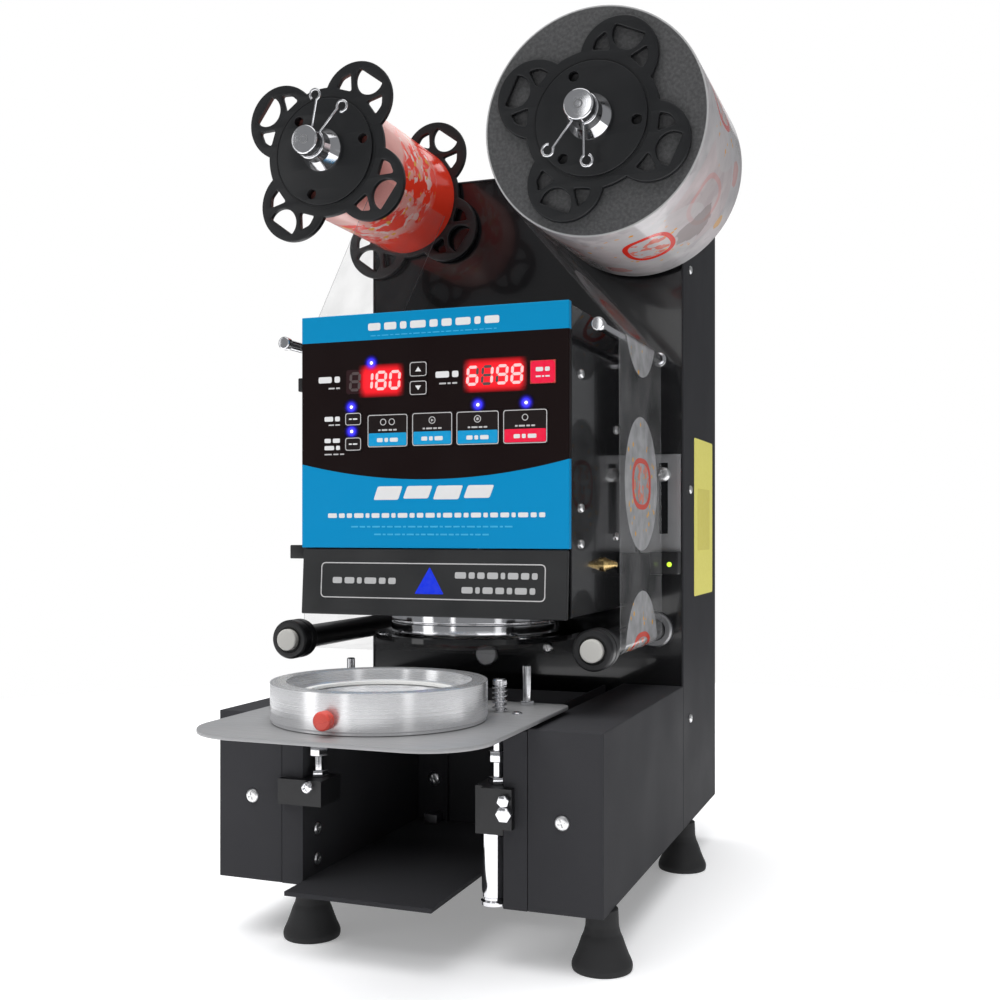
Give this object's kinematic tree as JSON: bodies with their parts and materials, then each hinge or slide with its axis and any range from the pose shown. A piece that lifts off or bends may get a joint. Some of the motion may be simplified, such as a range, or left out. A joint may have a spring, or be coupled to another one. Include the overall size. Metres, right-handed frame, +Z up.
{
  "type": "cup sealing machine",
  "caption": "Countertop automatic cup sealing machine with a sliding cup tray, a film supply and take-up reel, a heated press and a control panel.",
  "frame": {"origin": "on the floor under the middle of the bounding box, with the tray out", "axes": "+Z up, +X to the operator's right, -Y towards the operator"},
  "size_m": [0.3712, 0.52, 0.6765],
  "materials": {
    "charcoal_paint": "satin charcoal powder coat",
    "gloss_black_paint": "gloss black",
    "blue_panel_film": "printed polyester overlay, semi-gloss",
    "dark_key_film": "printed membrane key",
    "door_plastic": "satin dark grey",
    "chrome": "polished",
    "turned_aluminium": "fine turned",
    "brushed_steel": "brushed",
    "black_plastic": "satin moulded",
    "black_rubber": "matt",
    "silicone": "matt",
    "red_plastic": "gloss",
    "sealing_film": "clear film with printed patches",
    "wound_film": "many layers of clear printed film",
    "printed_film": "wound red printed film",
    "circuit_board": "solder mask",
    "spring_steel": "drawn wire"
  },
  "bodies": {
    "machine": {"base_plate": "charcoal_paint", "left_cover": "charcoal_paint", "right_cover": "charcoal_paint", "left_column": "charcoal_paint", "right_column": "charcoal_paint", "foot_front_left": "black_rubber", "foot_front_right": "black_rubber", "foot_rear_left": "black_rubber", "foot_rear_right": "black_rubber", "tower_shell": "charcoal_paint", "tower_front": "gloss_black_paint", "rear_panel": "charcoal_paint", "power_inlet": "black_plastic", "control_board": "circuit_board", "take_up_motor": "brushed_steel", "tray_motor": "brushed_steel", "head_shell": "gloss_black_paint", "control_panel": "blue_panel_film", "film_plate": "gloss_black_paint", "heater_ring": "chrome", "press_bridge": "brushed_steel", "press_spring": "spring_steel", "left_block": "black_plastic", "right_block": "black_plastic", "support_post": "chrome", "left_film_rod": "chrome", "right_film_rod": "chrome", "film_right": "sealing_film", "film_lower": "sealing_film", "film_left": "sealing_film", "film_sensor": "brushed_steel"},
    "tray": {"tray_plate": "brushed_steel", "cup_ring": "turned_aluminium", "cup_gasket": "silicone"},
    "ring_knob": {"ring_knob": "red_plastic"},
    "press": {"press_plunger": "chrome", "heating_block": "turned_aluminium", "cutter_ring": "brushed_steel"},
    "safety_door": {"safety_door": "door_plastic"},
    "supply_reel": {"supply_spindle": "chrome", "supply_roll": "wound_film", "supply_front_disc": "black_plastic", "supply_rear_disc": "black_plastic", "supply_clip": "spring_steel"},
    "take_up_reel": {"take_up_spindle": "chrome", "take_up_roll": "printed_film", "take_up_front_disc": "black_plastic", "take_up_rear_disc": "black_plastic", "take_up_clip": "spring_steel"},
    "left_roller": {"left_roller": "black_plastic"},
    "right_roller": {"right_roller": "black_plastic"},
    "key_up": {"key_up": "dark_key_film"},
    "key_down": {"key_down": "dark_key_film"},
    "key_zero": {"key_zero": "red_plastic"},
    "key_sound": {"key_sound": "dark_key_film"},
    "key_mode": {"key_mode": "dark_key_film"},
    "key_adjust": {"key_adjust": "dark_key_film"},
    "key_start": {"key_start": "dark_key_film"},
    "key_pause": {"key_pause": "dark_key_film"},
    "key_power": {"key_power": "dark_key_film"}
  },
  "joints": [
    {"name": "tray_slide", "type": "slide", "parent": "machine", "child": "tray", "axis": [0, 1, 0], "range_m": [0, 0.173]},
    {"name": "press_stroke", "type": "slide", "parent": "machine", "child": "press", "axis": [0, 0, -1], "range_m": [0, 0.0145], "stiffness_N_per_m": 4000, "springref_m": -0.008, "deforming": ["press_spring"]},
    {"name": "door_hinge", "type": "hinge", "parent": "machine", "child": "safety_door", "pos_m": [-0.00939, -0.0835, 0.2765], "axis": [-1, 0, 0], "range_deg": [0, 75]},
    {"name": "ring_knob_turn", "type": "hinge", "parent": "tray", "child": "ring_knob", "pos_m": [-0.00939, -0.2482, 0.178], "axis": [0, -1, 0], "range_deg": [-180, 180]},
    {"name": "supply_spin", "type": "hinge", "parent": "machine", "child": "supply_reel", "pos_m": [0.10111, -0.01, 0.592], "axis": [0, 1, 0], "continuous": true},
    {"name": "take_up_spin", "type": "hinge", "parent": "machine", "child": "take_up_reel", "pos_m": [-0.11739, -0.01, 0.592], "axis": [0, 1, 0], "continuous": true},
    {"name": "left_roller_spin", "type": "hinge", "parent": "machine", "child": "left_roller", "pos_m": [-0.13039, -0.01, 0.209], "axis": [0, 1, 0], "continuous": true},
    {"name": "right_roller_spin", "type": "hinge", "parent": "machine", "child": "right_roller", "pos_m": [0.11161, -0.01, 0.209], "axis": [0, 1, 0], "continuous": true},
    {"name": "key_up_press", "type": "slide", "parent": "machine", "child": "key_up", "axis": [0, 1, 0], "range_m": [0, 0.0008], "stiffness_N_per_m": 1500, "springref_m": -0.0005},
    {"name": "key_down_press", "type": "slide", "parent": "machine", "child": "key_down", "axis": [0, 1, 0], "range_m": [0, 0.0008], "stiffness_N_per_m": 1500, "springref_m": -0.0005},
    {"name": "key_zero_press", "type": "slide", "parent": "machine", "child": "key_zero", "axis": [0, 1, 0], "range_m": [0, 0.0008], "stiffness_N_per_m": 1500, "springref_m": -0.0005},
    {"name": "key_sound_press", "type": "slide", "parent": "machine", "child": "key_sound", "axis": [0, 1, 0], "range_m": [0, 0.0008], "stiffness_N_per_m": 1500, "springref_m": -0.0005},
    {"name": "key_mode_press", "type": "slide", "parent": "machine", "child": "key_mode", "axis": [0, 1, 0], "range_m": [0, 0.0008], "stiffness_N_per_m": 1500, "springref_m": -0.0005},
    {"name": "key_adjust_press", "type": "slide", "parent": "machine", "child": "key_adjust", "axis": [0, 1, 0], "range_m": [0, 0.0008], "stiffness_N_per_m": 1500, "springref_m": -0.0005},
    {"name": "key_start_press", "type": "slide", "parent": "machine", "child": "key_start", "axis": [0, 1, 0], "range_m": [0, 0.0008], "stiffness_N_per_m": 1500, "springref_m": -0.0005},
    {"name": "key_pause_press", "type": "slide", "parent": "machine", "child": "key_pause", "axis": [0, 1, 0], "range_m": [0, 0.0008], "stiffness_N_per_m": 1500, "springref_m": -0.0005},
    {"name": "key_power_press", "type": "slide", "parent": "machine", "child": "key_power", "axis": [0, 1, 0], "range_m": [0, 0.0008], "stiffness_N_per_m": 1500, "springref_m": -0.0005}
  ],
  "couplings": [
    {"joint": "take_up_spin", "follows": "supply_spin", "ratio": 1.7789},
    {"joint": "left_roller_spin", "follows": "supply_spin", "ratio": -9.3889},
    {"joint": "right_roller_spin", "follows": "supply_spin", "ratio": -9.3889}
  ]
}
